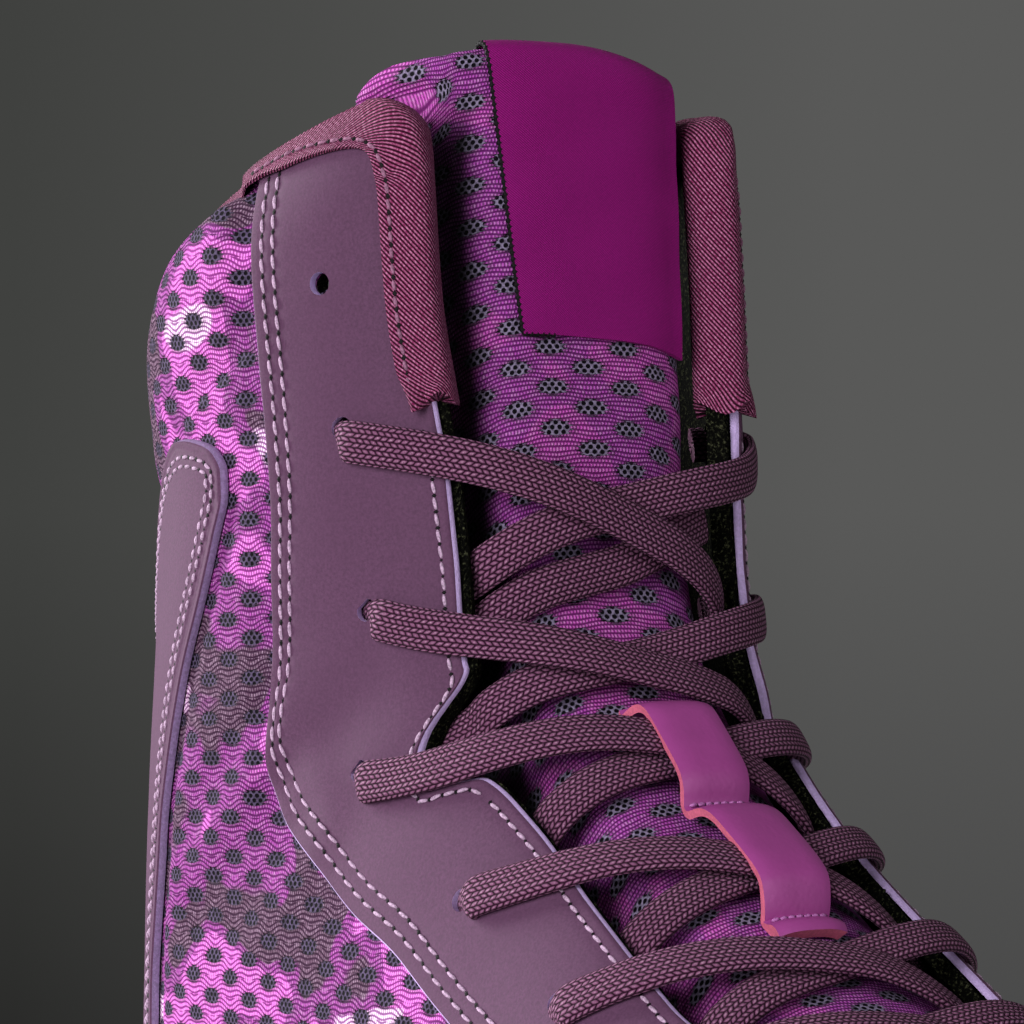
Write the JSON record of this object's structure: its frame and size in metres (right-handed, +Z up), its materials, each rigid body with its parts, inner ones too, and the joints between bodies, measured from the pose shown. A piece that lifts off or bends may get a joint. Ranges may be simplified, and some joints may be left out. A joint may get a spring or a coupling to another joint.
{
  "type": "boxing shoe",
  "caption": "Laced high-top boxing shoe with a mesh upper, microfibre eyestay and heel counter, padded tongue and thin rubber cup sole, standing empty.",
  "frame": {"origin": "middle of the standing shoe's bounding box, on the floor under the sole", "axes": "+X from heel to toe, +Y to the wearer's left, +Z up"},
  "size_m": [0.281, 0.0978, 0.217],
  "materials": {
    "sole_rubber": "matte",
    "footbed": "matte",
    "mesh": "matte",
    "microfibre": "matte",
    "twill": "satin",
    "satin": "satin",
    "keeper_leather": "satin",
    "braid": "matte"
  },
  "bodies": {
    "root": {"outsole": "sole_rubber", "insole": "footbed", "upper": "mesh", "eyestay": "microfibre", "heel_counter": "microfibre", "collar_binding": "twill", "tongue": "mesh", "tongue_label": "satin", "lace_keeper": "keeper_leather", "lace_bar": "braid", "lace_tail": "braid", "lace_crossing_1": "braid", "lace_crossing_2": "braid", "lace_crossing_3": "braid", "lace_crossing_4": "braid", "lace_crossing_5": "braid", "lace_crossing_6": "braid"}
  },
  "joints": []
}
